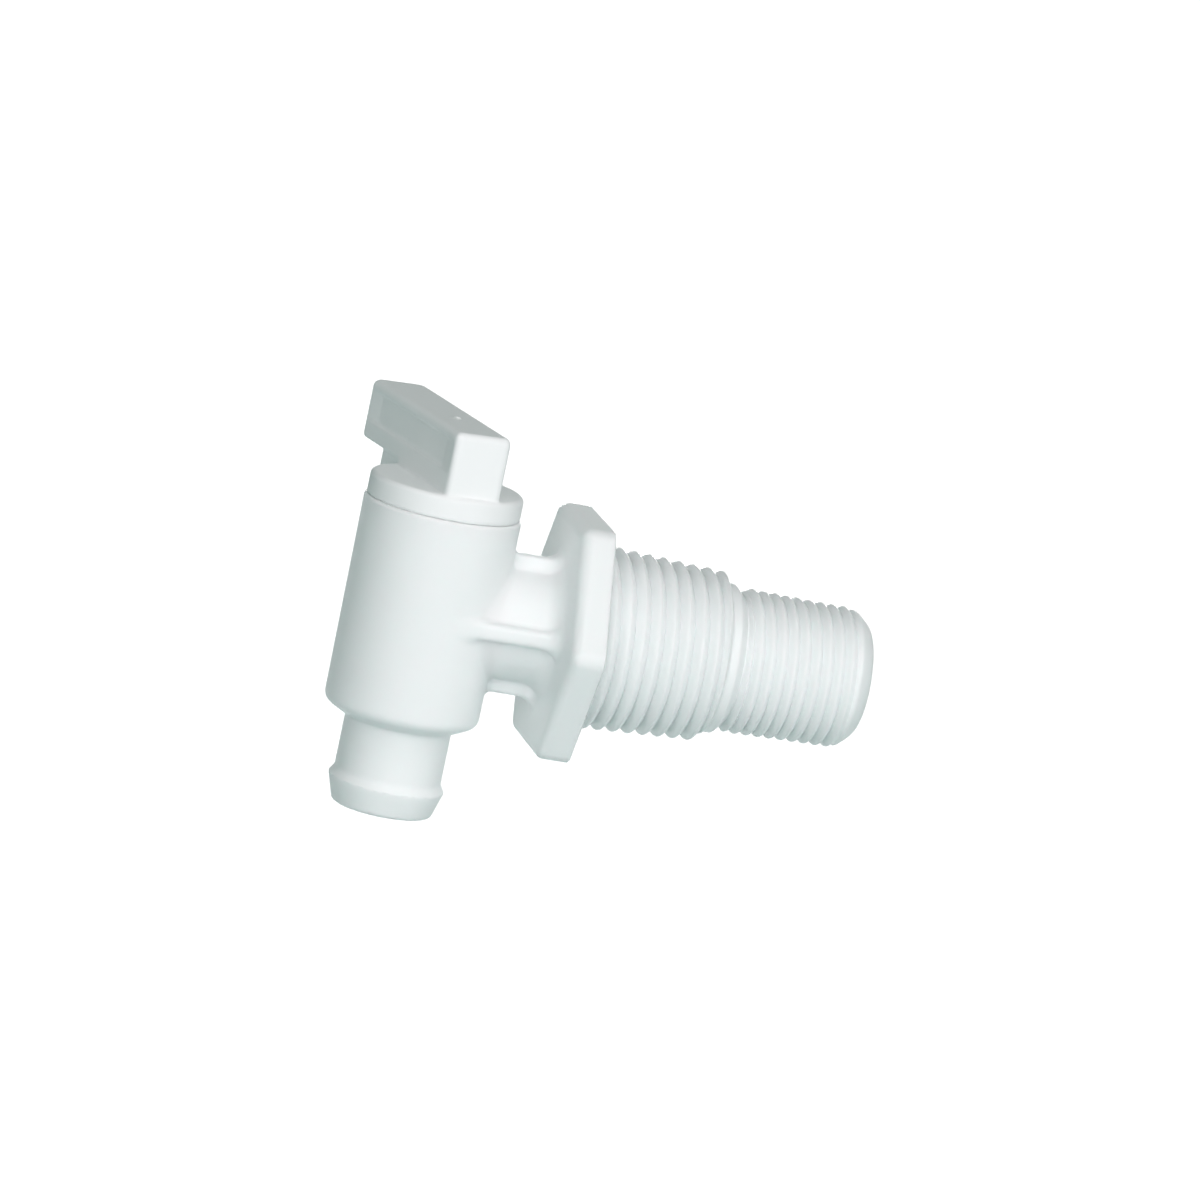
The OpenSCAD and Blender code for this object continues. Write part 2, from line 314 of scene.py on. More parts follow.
def closed_object(name: str, shell: bmesh.types.BMesh) -> Piece:
    """Ends work on a closed shell and puts it in the scene.

    Args:
        name: Name of the object.
        shell: The shell, which is used up.

    Returns:
        The object, with its faces outwards.
    """
    bmesh.ops.recalc_face_normals(shell, faces=shell.faces)
    mesh = bpy.data.meshes.new(name)
    shell.to_mesh(mesh)
    shell.free()
    facing_out(mesh)
    return linked_object(name, mesh)


def smooth_shaded(mesh: bpy.types.Mesh, crease_degrees: float) -> None:
    """Shades a mesh smoothly, apart from edges sharper than the given angle."""
    mesh.polygons.foreach_set("use_smooth", np.ones(len(mesh.polygons), bool))
    mesh.set_sharp_from_angle(angle=math.radians(crease_degrees))


def as_plain_mesh(piece: Piece) -> Piece:
    """Replaces an object's modifiers by the mesh that they give.

    Args:
        piece: The object.

    Returns:
        The same object, as a plain mesh.
    """
    bpy.context.view_layer.update()
    depsgraph = bpy.context.evaluated_depsgraph_get()
    mesh = bpy.data.meshes.new_from_object(piece.evaluated_get(depsgraph), depsgraph=depsgraph)
    piece.modifiers.clear()
    piece.data = mesh
    return piece


def boolean(piece: Piece, tool: Piece, operation: str) -> None:
    """Joins a tool to a piece or cuts it away, and removes the tool.

    Args:
        piece: The piece that stays, as a plain mesh.
        tool: The closed piece that is used up.
        operation: UNION or DIFFERENCE.
    """
    modifier = piece.modifiers.new(operation.lower(), "BOOLEAN")
    modifier.operation = operation
    modifier.solver = "MANIFOLD"
    modifier.object = tool
    as_plain_mesh(piece)
    bpy.data.objects.remove(tool)


def turned_solid(name: str, outline: Outline, sides: int) -> Piece:
    """Makes a closed turned solid about the inlet's axis.

    Args:
        name: Name of the object.
        outline: Pairs of place along +X and radius, from one end of the solid to the other.
        sides: Number of sides round the axis.

    Returns:
        The solid, with its faces outwards.
    """
    shell = bmesh.new()
    angles = 2 * np.pi * np.arange(sides) / sides
    rings = [
        [shell.verts.new((x * MM, r * math.cos(t) * MM, r * math.sin(t) * MM)) for t in angles]
        for x, r in outline
    ]
    for near, far in zip(rings, rings[1:]):
        for i in range(sides):
            j = (i + 1) % sides
            shell.faces.new((near[i], near[j], far[j], far[i]))
    shell.faces.new(list(reversed(rings[0])))
    shell.faces.new(rings[-1])
    return closed_object(name, shell)


# Node trees


@dataclass
class NodeWriter:
    """Adds nodes and links to one node tree."""

    tree: bpy.types.NodeTree

    def add(self, kind: str, **settings: object) -> bpy.types.Node:
        """Adds a node of a kind and sets its properties.

        Args:
            kind: Type of the node.
            settings: Its properties by name.

        Returns:
            The node.
        """
        node = self.tree.nodes.new(kind)
        for name, value in settings.items():
            setattr(node, name, value)
        return node

    def feed(self, socket: Socket, value: object) -> None:
        """Links a socket to another socket, or sets its own value.

        Args:
            socket: The socket to feed.
            value: Another socket, or a value.
        """
        if isinstance(value, Socket):
            self.tree.links.new(value, socket)
        else:
            socket.default_value = value

    def math(self, operation: str, *values: object) -> Socket:
        """Adds a number node and feeds its inputs in order.

        Args:
            operation: Name of the operation, such as ADD.
            values: Numbers or sockets.

        Returns:
            The node's output.
        """
        node = self.add("ShaderNodeMath", operation=operation)
        for socket, value in zip(node.inputs, values):
            self.feed(socket, value)
        return node.outputs[0]

    def end(self, geometry: Socket, material: Socket) -> None:
        """Ends a Geometry Nodes tree with real geometry, its material and the output.

        Args:
            geometry: The geometry so far.
            material: The tree's material input.
        """
        real = self.add("GeometryNodeRealizeInstances")
        self.feed(real.inputs[0], geometry)
        paint = self.add("GeometryNodeSetMaterial")
        self.feed(paint.inputs["Geometry"], real.outputs[0])
        self.feed(paint.inputs["Material"], material)
        self.feed(self.add("NodeGroupOutput").inputs[0], paint.outputs[0])


def emptied(owner: bpy.types.Material | bpy.types.World) -> NodeWriter:
    """Empties the nodes of a material or a world.

    Args:
        owner: The material or world.

    Returns:
        A writer for its nodes.
    """
    owner.use_nodes = True
    owner.node_tree.nodes.clear()
    return NodeWriter(owner.node_tree)


def geometry_tree(name: str, inputs: dict[str, Sequence[str]]) -> bpy.types.NodeTree:
    """Makes a Geometry Nodes tree with named inputs, a material and a geometry to give out.

    Args:
        name: Name of the tree.
        inputs: Names of its inputs by their kind, such as Float.

    Returns:
        The tree, without nodes.
    """
    tree = bpy.data.node_groups.new(name, "GeometryNodeTree")
    for kind, names in (inputs | {"Material": ("Material",)}).items():
        for item in names:
            tree.interface.new_socket(name=item, in_out="INPUT", socket_type="NodeSocket" + kind)
    tree.interface.new_socket(name="Geometry", in_out="OUTPUT", socket_type="NodeSocketGeometry")
    return tree


def modifier_input(tree: bpy.types.NodeTree, modifier: bpy.types.Modifier, name: str, value: object) -> None:
    """Sets a Geometry Nodes modifier's input by the name of its socket.

    Args:
        tree: The modifier's tree.
        modifier: The modifier.
        name: Name of the input.
        value: Its value.
    """
    for item in tree.interface.items_tree:
        if item.item_type == "SOCKET" and item.in_out == "INPUT" and item.name == name:
            modifier[item.identifier] = value
            return
    raise KeyError(name)


def tree_object(name: str, tree: bpy.types.NodeTree, values: Values) -> Piece:
    """Makes an object whose mesh comes from a Geometry Nodes tree.

    Args:
        name: Name of the object.
        tree: The tree.
        values: The tree's inputs by name.

    Returns:
        The object, as a plain mesh.
    """
    piece = linked_object(name, bpy.data.meshes.new(name))
    modifier = piece.modifiers.new("shape", "NODES")
    modifier.node_group = tree
    for key, value in values.items():
        modifier_input(tree, modifier, key, value)
    return as_plain_mesh(piece)


# Finishes


@dataclass(frozen=True)
class GrainGroup:
    """A shader group for the skin of a moulding: cloudy shade, worn gloss and a fine grain."""

    name: str = "moulding_skin"
    inputs: tuple[tuple[str, float], ...] = (
        ("Cloud Size", 60.0),
        ("Cloud Amount", 0.02),
        ("Grain Size", 3000.0),
        ("Flow Size", 240.0),
        ("Grain Share", 0.5),
    )
    cloud_detail: float = 3.0
    grain_detail: float = 2.0
    flow_detail: float = 4.0

    def tree(self) -> bpy.types.NodeTree:
        """Builds the group once and gives it back on later calls.

        Returns:
            The group's tree.
        """
        found = bpy.data.node_groups.get(self.name)
        if found:
            return found
        tree = bpy.data.node_groups.new(self.name, "ShaderNodeTree")
        for name, value in self.inputs:
            socket = tree.interface.new_socket(name=name, in_out="INPUT", socket_type="NodeSocketFloat")
            socket.default_value = value
        for name in ("Shade", "Gloss", "Height"):
            tree.interface.new_socket(name=name, in_out="OUTPUT", socket_type="NodeSocketFloat")
        write = NodeWriter(tree)
        entry = write.add("NodeGroupInput")
        exit_node = write.add("NodeGroupOutput")
        place = write.add("ShaderNodeTexCoord").outputs["Object"]
        cloud = self.noise(write, place, entry.outputs["Cloud Size"], self.cloud_detail)
        grain = self.noise(write, place, entry.outputs["Grain Size"], self.grain_detail)
        flow = self.noise(write, place, entry.outputs["Flow Size"], self.flow_detail)
        swing = write.math("MULTIPLY", write.math("SUBTRACT", cloud, 0.5), entry.outputs["Cloud Amount"])
        write.feed(exit_node.inputs["Shade"], write.math("ADD", 1.0, swing))
        write.feed(exit_node.inputs["Gloss"], write.math("SUBTRACT", flow, 0.5))
        fine = write.math("MULTIPLY", grain, entry.outputs["Grain Share"])
        write.feed(exit_node.inputs["Height"], write.math("ADD", fine, flow))
        return tree

    def noise(self, write: NodeWriter, place: Socket, size: Socket, detail: float) -> Socket:
        """Adds a noise texture.

        Args:
            write: The writer of the tree.
            place: Where the texture is read.
            size: Scale of the noise.
            detail: How many finer layers it has.

        Returns:
            The noise's value.
        """
        node = write.add("ShaderNodeTexNoise")
        write.feed(node.inputs["Vector"], place)
        write.feed(node.inputs["Scale"], size)
        node.inputs["Detail"].default_value = detail
        return node.outputs[0]


@dataclass(frozen=True)
class Finish:
    """A moulded finish: its colour, gloss, depth of skin and, where it has any, its milkiness."""

    name: str
    colour: Triple
    roughness: float
    roughness_swing: float = 0.08
    cloud_amount: float = 0.03
    bump_strength: float = 0.06
    bump_depth: float = 0.00004
    grain_size: float = 2600.0
    flow_size: float = 220.0
    grain_share: float = 0.35
    milkiness: float = 0.0
    milk_radius: Triple = (1.0, 1.0, 1.0)
    milk_depth: float = 0.001
    specular: float = 0.5

    def material(self) -> bpy.types.Material:
        """Builds the material once and gives it back on later calls.

        Returns:
            The material.
        """
        found = bpy.data.materials.get(self.name)
        if found:
            return found
        material = bpy.data.materials.new(self.name)
        write = emptied(material)
        skin = write.add("ShaderNodeGroup", node_tree=GrainGroup().tree())
        skin.inputs["Cloud Amount"].default_value = self.cloud_amount
        skin.inputs["Grain Size"].default_value = self.grain_size
        skin.inputs["Flow Size"].default_value = self.flow_size
        skin.inputs["Grain Share"].default_value = self.grain_share
        shader = write.add("ShaderNodeBsdfPrincipled")
        tint = write.add("ShaderNodeVectorMath", operation="SCALE")
        tint.inputs[0].default_value = self.colour
        write.feed(tint.inputs["Scale"], skin.outputs["Shade"])
        write.feed(shader.inputs["Base Color"], tint.outputs[0])
        swing = write.math("MULTIPLY", skin.outputs["Gloss"], self.roughness_swing)
        write.feed(shader.inputs["Roughness"], write.math("ADD", swing, self.roughness))
        bump = write.add("ShaderNodeBump")
        bump.inputs["Strength"].default_value = self.bump_strength
        bump.inputs["Distance"].default_value = self.bump_depth
        write.feed(bump.inputs["Height"], skin.outputs["Height"])
        write.feed(shader.inputs["Normal"], bump.outputs[0])
        shader.inputs["Specular IOR Level"].default_value = self.specular
        shader.inputs["Subsurface Weight"].default_value = self.milkiness
        shader.inputs["Subsurface Radius"].default_value = self.milk_radius
        shader.inputs["Subsurface Scale"].default_value = self.milk_depth
        output = write.add("ShaderNodeOutputMaterial")
        write.feed(output.inputs["Surface"], shader.outputs[0])
        return material


BODY_PLASTIC = Finish(
    name="body_plastic",
    colour=(0.88, 0.91, 0.91),
    roughness=0.38,
    milkiness=0.55,
    milk_radius=(1.0, 1.15, 1.1),
    milk_depth=0.0013,
    specular=0.22,
)
LEVER_PLASTIC = replace(BODY_PLASTIC, name="lever_plastic", colour=(0.87, 0.90, 0.90))
RING_RUBBER = Finish(name="ring_rubber", colour=(0.018, 0.018, 0.02), roughness=0.5, grain_size=4200.0)
SEAT_RUBBER = Finish(name="seat_rubber", colour=(0.06, 0.06, 0.065), roughness=0.55, grain_size=3800.0)


def dressed(piece: Piece, finish: Finish) -> Piece:
    """Gives a piece its material.

    Args:
        piece: The piece.
        finish: Its finish.

    Returns:
        The piece.
    """
    piece.data.materials.clear()
    piece.data.materials.append(finish.material())
    return piece


# The fixed body


@dataclass
class PlugAxis:
    """Where the plug's axis stands and the levels along it."""

    x: float = -19.2
    rim_z: float = 12.35
    floor_z: float = -11.2
    bore_r: float = 7.0
    gap: float = 0.05
    end_gap: float = 0.1

    @property
    def plug_r(self) -> float:
        """Radius of the plug, which runs in the bore with a small gap."""
        return self.bore_r - self.gap

    @property
    def foot_z(self) -> float:
        """Height of the plug's foot."""
        return self.floor_z + self.end_gap

    @property
    def cap_foot_z(self) -> float:
        """Height of the cap's foot, just clear of the rim."""
        return self.rim_z + self.end_gap


@dataclass
class ThreadSleeve:
    """One tapered pipe thread, as a sleeve of wall wound from a strip one pitch wide."""

    start: float
    length: float
    crest_r: float
    pitch: float
    depth: float
    end_r: float
    end_run: float
    start_r: float
    start_run: float
    core_r: float
    fade_start: float
    fade_run: float
    phase: float = 0.0
    taper: float = 1 / 32
    crest_power: float = 1.8
    section_steps: int = 10
    spare_turns: int = 2

    def values(self, sides: int) -> Values:
        """Gives the inputs of the thread's tree, with lengths in metres.

        Args:
            sides: Number of sides round the axis.

        Returns:
            The inputs by name.
        """
        turns = math.ceil(self.length / self.pitch) + self.spare_turns
        return {
            "Section Points": self.section_steps + 1,
            "Path Points": turns * sides + 1,
            "Turns": float(turns),
            "Start": self.start * MM,
            "Length": self.length * MM,
            "Crest Radius": self.crest_r * MM,
            "Pitch": self.pitch * MM,
            "Depth": self.depth * MM,
            "Phase": self.phase % 1.0,
            "Taper": self.taper,
            "Crest Power": self.crest_power,
            "Start Radius": self.start_r * MM,
            "Start Run": self.start_run * MM,
            "End Radius": self.end_r * MM,
            "End Run": self.end_run * MM,
            "Core Radius": self.core_r * MM,
            "Fade Start": (self.fade_start - self.start) * MM,
            "Fade Run": self.fade_run * MM,
        }


@dataclass
class ThreadTree:
    """A Geometry Nodes tree that makes a threaded wall along +X."""

    name: str = "pipe_thread"
    whole_numbers: tuple[str, ...] = ("Section Points", "Path Points")
    numbers: tuple[str, ...] = (
        *("Turns", "Start", "Length", "Crest Radius", "Pitch", "Depth", "Phase", "Taper"),
        *("Crest Power", "Start Radius", "Start Run", "End Radius", "End Run", "Core Radius"),
        *("Fade Start", "Fade Run"),
    )
    dome_power: float = 0.7
    weld_gap: float = 0.001

    def build(self) -> bpy.types.NodeTree:
        """Builds the tree once and gives it back on later calls.

        Returns:
            The tree, with a named input for each size.
        """
        found = bpy.data.node_groups.get(self.name)
        if found:
            return found
        tree = geometry_tree(self.name, {"Int": self.whole_numbers, "Float": self.numbers})
        write = NodeWriter(tree)
        entry = write.add("NodeGroupInput").outputs
        sheet = write.add("GeometryNodeMeshGrid")
        write.feed(sheet.inputs["Size X"], 1.0)
        write.feed(sheet.inputs["Size Y"], 1.0)
        write.feed(sheet.inputs["Vertices X"], entry["Section Points"])
        write.feed(sheet.inputs["Vertices Y"], entry["Path Points"])
        place = write.add("ShaderNodeSeparateXYZ")
        write.feed(place.inputs[0], write.add("GeometryNodeInputPosition").outputs[0])
        share = write.math("ADD", place.outputs[0], 0.5)
        turn = write.math("MULTIPLY", write.math("ADD", place.outputs[1], 0.5), entry["Turns"])
        wound = write.math("SUBTRACT", write.math("ADD", turn, share), write.math("ADD", entry["Phase"], 1.0))
        free = write.math("MULTIPLY", wound, entry["Pitch"])
        along = write.math("MINIMUM", write.math("MAXIMUM", free, 0.0), entry["Length"])
        radius = self.radius(write, entry, along, share)
        angle = write.math("MULTIPLY", turn, 2 * math.pi)
        spot = write.add("ShaderNodeCombineXYZ")
        write.feed(spot.inputs[0], write.math("ADD", entry["Start"], along))
        write.feed(spot.inputs[1], write.math("MULTIPLY", radius, write.math("COSINE", angle)))
        write.feed(spot.inputs[2], write.math("MULTIPLY", radius, write.math("SINE", angle)))
        bend = write.add("GeometryNodeSetPosition")
        write.feed(bend.inputs["Geometry"], sheet.outputs["Mesh"])
        write.feed(bend.inputs["Position"], spot.outputs[0])
        weld = write.add("GeometryNodeMergeByDistance")
        write.feed(weld.inputs["Geometry"], bend.outputs[0])
        weld.inputs["Distance"].default_value = self.weld_gap * MM
        write.end(weld.outputs[0], entry["Material"])
        return tree

    def radius(self, write: NodeWriter, entry: Sequence[Socket], along: Socket, share: Socket) -> Socket:
        """Writes the radius: a round crest and a sharp root that fade to a plain core near the end.

        Args:
            write: The writer of the tree.
            entry: The tree's inputs.
            along: Distance from the start of the sleeve.
            share: Place across the strip, from one root to the next.

        Returns:
            The radius.
        """
        from_crest = write.math("ABSOLUTE", write.math("SUBTRACT", write.math("MULTIPLY", share, 2.0), 1.0))
        dip = write.math("MULTIPLY", write.math("POWER", from_crest, entry["Crest Power"]), entry["Depth"])
        lean = write.math("MULTIPLY", along, entry["Taper"])
        cut = write.math("SUBTRACT", write.math("SUBTRACT", entry["Crest Radius"], lean), dip)
        fade = write.add("ShaderNodeMapRange", interpolation_type="SMOOTHSTEP")
        write.feed(fade.inputs["Value"], write.math("SUBTRACT", along, entry["Fade Start"]))
        write.feed(fade.inputs["From Max"], entry["Fade Run"])
        shortfall = write.math("SUBTRACT", entry["Core Radius"], cut)
        thread = write.math("ADD", cut, write.math("MULTIPLY", fade.outputs[0], shortfall))
        left = write.math("SUBTRACT", entry["Length"], along)
        end = self.round_end(write, left, entry["End Run"], entry["End Radius"], entry["Crest Radius"])
        start = self.round_end(write, along, entry["Start Run"], entry["Start Radius"], entry["Crest Radius"])
        return write.math("MINIMUM", thread, write.math("MINIMUM", end, start))

    def round_end(
        self, write: NodeWriter, distance: Socket, run: Socket, face_radius: Socket, full_radius: Socket
    ) -> Socket:
        """Writes a softly domed chamfer that starts at the face and reaches the full radius after a run.

        Args:
            write: The writer of the tree.
            distance: Distance from the face.
            run: Length of the chamfer.
            face_radius: Radius at the face.
            full_radius: Radius at the end of the run.

        Returns:
            The largest radius that the chamfer leaves.
        """
        share = write.math("MINIMUM", write.math("DIVIDE", distance, run), 1.0)
        dome = write.math("POWER", write.math("MAXIMUM", share, 0.0), self.dome_power)
        rise = write.math("MULTIPLY", dome, write.math("SUBTRACT", full_radius, face_radius))
        return write.math("ADD", face_radius, rise)


@dataclass
class ValveBody:
    """The moulded body: barrel, hose tail, ribbed tube, hexagon and threaded inlet."""

    axis: PlugAxis = field(default_factory=PlugAxis)
    barrel_r: float = 9.35
    foot_r: float = 9.2
    foot_round: float = 1.3
    foot_sweep: float = 62.0
    barrel_drop: float = 11.6
    shoulder_drop: float = 0.7
    shoulder_fillet: float = 0.55
    rim_round: float = 0.3
    tail_r: float = 6.35
    tail_len: float = 6.8
    bead_reach: float = 0.55
    bead_fall: float = 1.3
    bead_round: float = 0.2
    bead_top: float = 60.0
    neck_reach: float = 0.18
    neck_low: float = 0.1
    neck_high: float = 0.25
    nose_len: float = 3.2
    nose_round: float = 0.6
    nose_lean: float = 17.0
    tail_bore_r: float = 4.0
    floor_hole_r: float = 3.5
    tube_r: float = 6.7
    rib_reach: float = 8.4
    rib_thick: float = 2.0
    rib_round: float = 0.5
    tube_sink: float = 0.5
    hex_flats: float = 28.0
    hex_thick: float = 4.0
    hex_low_edge: float = 0.9
    hex_high_edge: float = 1.6
    hex_tank_edge: float = 0.2
    hex_corner: float = 1.0
    inlet_bore_r: float = 4.6
    mouth_round: float = 0.35
    seat_r: float = 6.1
    seat_floor: float = 8.4
    snap_reach: float = 0.35
    snap_gap: float = 0.05
    snap_low: float = -10.8
    snap_high: float = -9.8
    key_reach: float = 8.25
    key_floor_z: float = 10.6
    key_half_span: float = 55.2
    key_centre: float = 135.0
    tube_fillet: float = 0.9
    hex_fillet: float = 2.0
    rib_fillet: float = 0.45
    overlap: float = 1.0
    edge_round: float = 0.15
    joint_low: float = 0.3
    joint_high: float = 1.3
    crease: float = 38.0
    step: float = 0.31
    sides: int = 120
    tank_thread: ThreadSleeve = field(
        default_factory=lambda: ThreadSleeve(
            start=-1.5,
            length=19.8,
            crest_r=11.08,
            pitch=1.814,
            depth=1.15,
            end_r=7.6,
            end_run=4.0,
            start_r=9.7,
            start_run=0.4,
            core_r=8.95,
            fade_start=15.6,
            fade_run=0.7,
            phase=0.27,
            taper=0.0525,
        )
    )
    inlet_thread: ThreadSleeve = field(
        default_factory=lambda: ThreadSleeve(
            start=18.5,
            length=15.7,
            crest_r=8.67,
            pitch=1.411,
            depth=0.8,
            end_r=6.25,
            end_run=2.6,
            start_r=7.6,
            start_run=0.6,
            core_r=8.1,
            fade_start=31.3,
            fade_run=1.2,
            phase=-0.05,
            taper=0.022,
        )
    )

    @property
    def tail_top_z(self) -> float:
        """Height at which the hose tail leaves the barrel's shoulder."""
        return -self.barrel_drop - self.foot_round - self.shoulder_drop

    @property
    def bead_z(self) -> float:
        """Height of the top of the hose tail's bead."""
        return self.tail_top_z - self.tail_len

    @property
    def bead_low_z(self) -> float:
        """Height of the bead's foot."""
        return self.bead_z - self.bead_fall * self.bead_reach

    @property
    def nose_z(self) -> float:
        """Height of the hose tail's open end."""
        return self.bead_low_z - self.nose_len

    def barrel_outline(self) -> Outline:
        """Gives the turned outline of the barrel and hose tail.

        Returns:
            The outline, as radius and height.
        """
        bead_r = self.tail_r + self.bead_reach
        bead, foot, rim = self.bead_round, self.foot_round, self.rim_round
        fill, soft, lean = self.shoulder_fillet, self.nose_round, math.radians(self.nose_lean)
        rise = soft - soft * math.sin(lean)
        end_r = bead_r - (self.nose_len - rise) * math.tan(lean) - soft * math.cos(lean)
        return (
            [(INNER, self.nose_z)]
            + arc(end_r, self.nose_z + soft, soft, -90, -self.nose_lean)
            + arc(bead_r - bead, self.bead_low_z, bead, -self.nose_lean, self.bead_top, 4)
            + [(self.tail_r + self.neck_reach, self.bead_z - self.neck_low)]
            + [(self.tail_r, self.bead_z + self.neck_high)]
            + arc(self.tail_r + fill, self.tail_top_z - fill, fill, 180, 90)
            + arc(self.foot_r - foot, -self.barrel_drop, foot, -self.foot_sweep, 0)
            + arc(self.barrel_r - rim, self.axis.rim_z - rim, rim, 0, 90)
            + [(INNER, self.axis.rim_z)]
        )

    def outside(self, points: Array) -> Array:
        """Measures the distance to the body's outer form, before its bores are cut.

        Args:
            points: The points.

        Returns:
            Signed distances, negative inside.
        """
        x, y, z = points.T
        from_axis = np.hypot(x - self.axis.x, y)
        barrel = outline_distance(from_axis, z, self.barrel_outline())
        tube = np.hypot(y, z) - self.tube_r
        ribs = np.minimum(self.rib(y, z), self.rib(z, y))
        arm = filleted(tube, ribs, self.rib_fillet)
        arm = np.maximum(arm, np.maximum(x + self.tube_sink, self.axis.x - x))
        body = filleted(barrel, arm, self.tube_fillet)
        return filleted(body, self.hexagon(x, y, z), self.hex_fillet)

    def rib(self, across: Array, out: Array) -> Array:
        """Measures the distance to a pair of opposite ribs, in section.

        Args:
            across: Coordinate across the ribs' thickness.
            out: Coordinate along their reach.

        Returns:
            Signed distances, negative inside.
        """
        a = np.abs(across) - (self.rib_thick / 2 - self.rib_round)
        b = np.abs(out) - (self.rib_reach - self.rib_round)
        beyond = np.hypot(np.maximum(a, 0), np.maximum(b, 0))
        return beyond + np.minimum(np.maximum(a, b), 0) - self.rib_round

    def hexagon(self, x: Array, y: Array, z: Array) -> Array:
        """Measures the distance to the hexagon, with its softer edges on the barrel side.

        Args:
            x: Coordinate along the inlet.
            y: Coordinate to the side.
            z: Height.

        Returns:
            Signed distances, negative inside.
        """
        flat = self.hex_flats / 2
        prism = np.abs(z) - flat
        for side in (-1, 1):
            slanted = np.abs(math.cos(HEXAGON_TURN) * y + side * z / 2) - flat
            prism = rounded_overlap(prism, slanted, self.hex_corner)
        edge = np.interp(z, (-flat, flat), (self.hex_low_edge, self.hex_high_edge))
        prism = rounded_overlap(prism, -x - self.hex_thick, edge)
        return rounded_overlap(prism, x, self.hex_tank_edge)

    def bores(self, points: Array) -> Array:
        """Measures the distance to the hollows for the plug, the seat seal and the hose tail.

        Args:
            points: The points.

        Returns:
            Signed distances, negative inside.
        """
        x, y, z = points.T
        u = x - self.axis.x
        bore = rod(u, y, z, self.axis.bore_r, self.axis.floor_z, FAR)
        snap_r = self.axis.bore_r + self.snap_reach - self.snap_gap
        snap = rod(u, y, z, snap_r, self.snap_low, self.snap_high)
        seat = rod(y, z, u, self.seat_r, 0, self.seat_floor)
        tail = rod(u, y, z, self.tail_bore_r, -FAR, -self.barrel_drop - self.foot_round)
        hole = rod(u, y, z, self.floor_hole_r, -FAR, 0)
        hollow = np.minimum(np.minimum(bore, snap), np.minimum(seat, np.minimum(tail, hole)))
        return np.minimum(hollow, self.key_recess(u, y, z))

    def key_recess(self, u: Array, y: Array, z: Array) -> Array:
        """Measures the distance to the quarter-turn recess in the rim.

        Args:
            u: Coordinate from the plug's axis along the inlet.
            y: Coordinate to the side.
            z: Height.

        Returns:
            Signed distances, negative inside.
        """
        middle = math.radians(self.key_centre)
        bearing = np.abs((np.arctan2(y, u) - middle + np.pi) % (2 * np.pi) - np.pi)
        reach = np.hypot(u, y)
        past = (bearing - math.radians(self.key_half_span)) * reach
        ring = np.maximum(reach - self.key_reach, self.axis.bore_r - self.overlap - reach)
        return np.maximum(np.maximum(ring, past), self.key_floor_z - z)

    def field(self, points: Array) -> Array:
        """Measures the distance to the body, apart from its threaded inlet and inlet bore."""
        return carved(self.outside(points), self.bores(points), self.edge_round)

    def inlet(self) -> Piece:
        """Makes the threaded inlet: two threaded walls, the groove and both ends.

        Returns:
            The closed solid.
        """
        tree = ThreadTree().build()
        sleeves = []
        for name, thread in (("tank_thread", self.tank_thread), ("inlet_thread", self.inlet_thread)):
            values = thread.values(self.sides)
            values["Material"] = BODY_PLASTIC.material()
            sleeves.append(tree_object(name, tree, values))
        shell = bmesh.new()
        for sleeve in sleeves:
            shell.from_mesh(sleeve.data)
            bpy.data.objects.remove(sleeve)
        loops = [e for e in shell.edges if e.is_boundary]
        middle = 0.5 * (self.tank_thread.start + self.inlet_thread.start + self.inlet_thread.length) * MM
        low, high = self.joint_low * middle, self.joint_high * middle
        inner = [e for e in loops if low < e.verts[0].co.x < high]
        bmesh.ops.bridge_loops(shell, edges=inner)
        bmesh.ops.holes_fill(shell, edges=[e for e in shell.edges if e.is_boundary], sides=0)
        return closed_object("threaded_inlet", shell)

    def bore_tool(self) -> Piece:
        """Makes the tool for the inlet's bore, flared where it leaves the end.

        Returns:
            The closed tool.
        """
        mouth_x = self.inlet_thread.start + self.inlet_thread.length
        flare = self.mouth_round
        start = self.axis.x + self.seat_floor - self.overlap
        outline = [(start, self.inlet_bore_r), (mouth_x - flare, self.inlet_bore_r)]
        outline += [(mouth_x + flare, self.inlet_bore_r + 2 * flare)]
        return turned_solid("bore_tool", outline, self.sides)

    def build(self) -> Piece:
        """Makes the body, dresses it and puts it in the place of its construction node.

        Returns:
            The finished piece.
        """
        reach = self.hex_flats / 2 / math.cos(HEXAGON_TURN)
        low = (self.axis.x - self.barrel_r, -reach, self.nose_z)
        mesh = Moulding(self.field, low, (0.0, reach, reach), self.step).mesh("valve_body_shell")
        facing_out(mesh)
        piece = linked_object("valve_body_shell", mesh)
        boolean(piece, self.inlet(), "UNION")
        boolean(piece, self.bore_tool(), "DIFFERENCE")
        smooth_shaded(piece.data, self.crease)
        dressed(piece, BODY_PLASTIC)
        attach(piece, Body.FIXED.value)
        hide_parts("valve_body")
        return piece


# The turning plug


